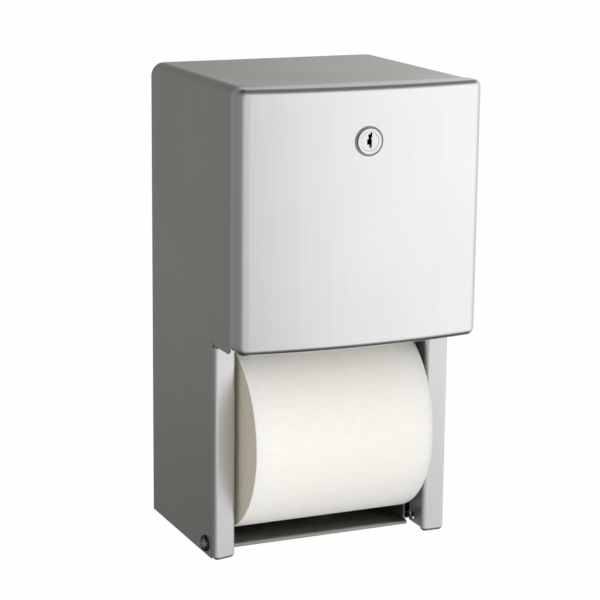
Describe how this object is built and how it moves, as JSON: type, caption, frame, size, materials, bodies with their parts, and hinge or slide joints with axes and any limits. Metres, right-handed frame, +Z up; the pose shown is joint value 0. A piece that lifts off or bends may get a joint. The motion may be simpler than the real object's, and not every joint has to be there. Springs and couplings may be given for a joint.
{
  "type": "toilet paper dispenser",
  "caption": "Wall-mounted stainless toilet tissue dispenser: reserve roll above the exposed roll in use, bowed drop-front door with a key lock, and a cam release.",
  "frame": {"origin": "middle of the back plate's rear face, on the wall, halfway up the cabinet and on its centre line", "axes": "+X to the right as seen from the front, +Y into the wall, +Z up; the front of the dispenser faces -Y"},
  "size_m": [0.1564, 0.1506, 0.285],
  "materials": {
    "satin_stainless": "satin, brushed upright on the door and the legs",
    "galvanised_steel": "dull galvanised",
    "mechanism_steel": "plain stainless, as rolled or turned",
    "lock_chrome": "bright plated",
    "spindle_plastic": "fine matt moulding",
    "bushing_plastic": "natural moulding",
    "core_board": "plain",
    "tissue_paper": "soft, matt"
  },
  "bodies": {
    "cabinet": {"cabinet_shell": "satin_stainless", "back_plate": "satin_stainless", "floor_plate": "satin_stainless", "left_spindle_track": "galvanised_steel", "right_spindle_track": "galvanised_steel", "lock_strike": "galvanised_steel", "left_shaft_bushing": "bushing_plastic", "right_shaft_bushing": "bushing_plastic", "left_pivot_rivet": "mechanism_steel", "right_pivot_rivet": "mechanism_steel", "left_pivot_washer": "mechanism_steel", "right_pivot_washer": "mechanism_steel"},
    "door": {"door_panel": "satin_stainless", "left_door_leg": "satin_stainless", "right_door_leg": "satin_stainless", "door_cross_rail": "satin_stainless", "lock_backing_plate": "galvanised_steel", "lock_barrel": "lock_chrome", "lock_nut": "lock_chrome"},
    "lock": {"lock_plug": "lock_chrome", "lock_tongue": "galvanised_steel", "lock_tongue_screw": "mechanism_steel"},
    "cams": {"cam_shaft": "mechanism_steel", "left_cam": "mechanism_steel", "right_cam": "mechanism_steel", "left_cam_pin": "mechanism_steel", "right_cam_pin": "mechanism_steel", "left_shaft_clip": "mechanism_steel", "right_shaft_clip": "mechanism_steel"},
    "lower_spindle": {"lower_spindle": "spindle_plastic"},
    "lower_roll": {"lower_core": "core_board", "lower_paper_roll": "tissue_paper"},
    "reserve_spindle": {"reserve_spindle": "spindle_plastic"},
    "reserve_roll": {"reserve_core": "core_board", "reserve_paper_roll": "tissue_paper"}
  },
  "joints": [
    {"name": "door_hinge", "type": "hinge", "parent": "cabinet", "child": "door", "pos_m": [0, -0.091, -0.1357], "axis": [1, 0, 0], "range_deg": [0, 115]},
    {"name": "lock_turn", "type": "hinge", "parent": "door", "child": "lock", "pos_m": [0, -0.1483, 0.1115], "axis": [0, 1, 0], "range_deg": [0, 90]},
    {"name": "lower_spindle_lift", "type": "slide", "parent": "cabinet", "child": "lower_spindle", "axis": [0, 0, 1], "range_m": [0, 0.008]},
    {"name": "lower_roll_spin", "type": "hinge", "parent": "lower_spindle", "child": "lower_roll", "pos_m": [0, -0.0648, -0.073], "axis": [1, 0, 0], "continuous": true},
    {"name": "reserve_spindle_lift", "type": "slide", "parent": "cabinet", "child": "reserve_spindle", "axis": [0, 0, 1], "range_m": [0, 0.008]},
    {"name": "reserve_roll_spin", "type": "hinge", "parent": "reserve_spindle", "child": "reserve_roll", "pos_m": [0, -0.0648, 0.0615], "axis": [1, 0, 0], "continuous": true},
    {"name": "cam_swing", "type": "hinge", "parent": "cabinet", "child": "cams", "pos_m": [0, -0.0098, 0.022], "axis": [-1, 0, 0], "range_deg": [0, 13]}
  ]
}
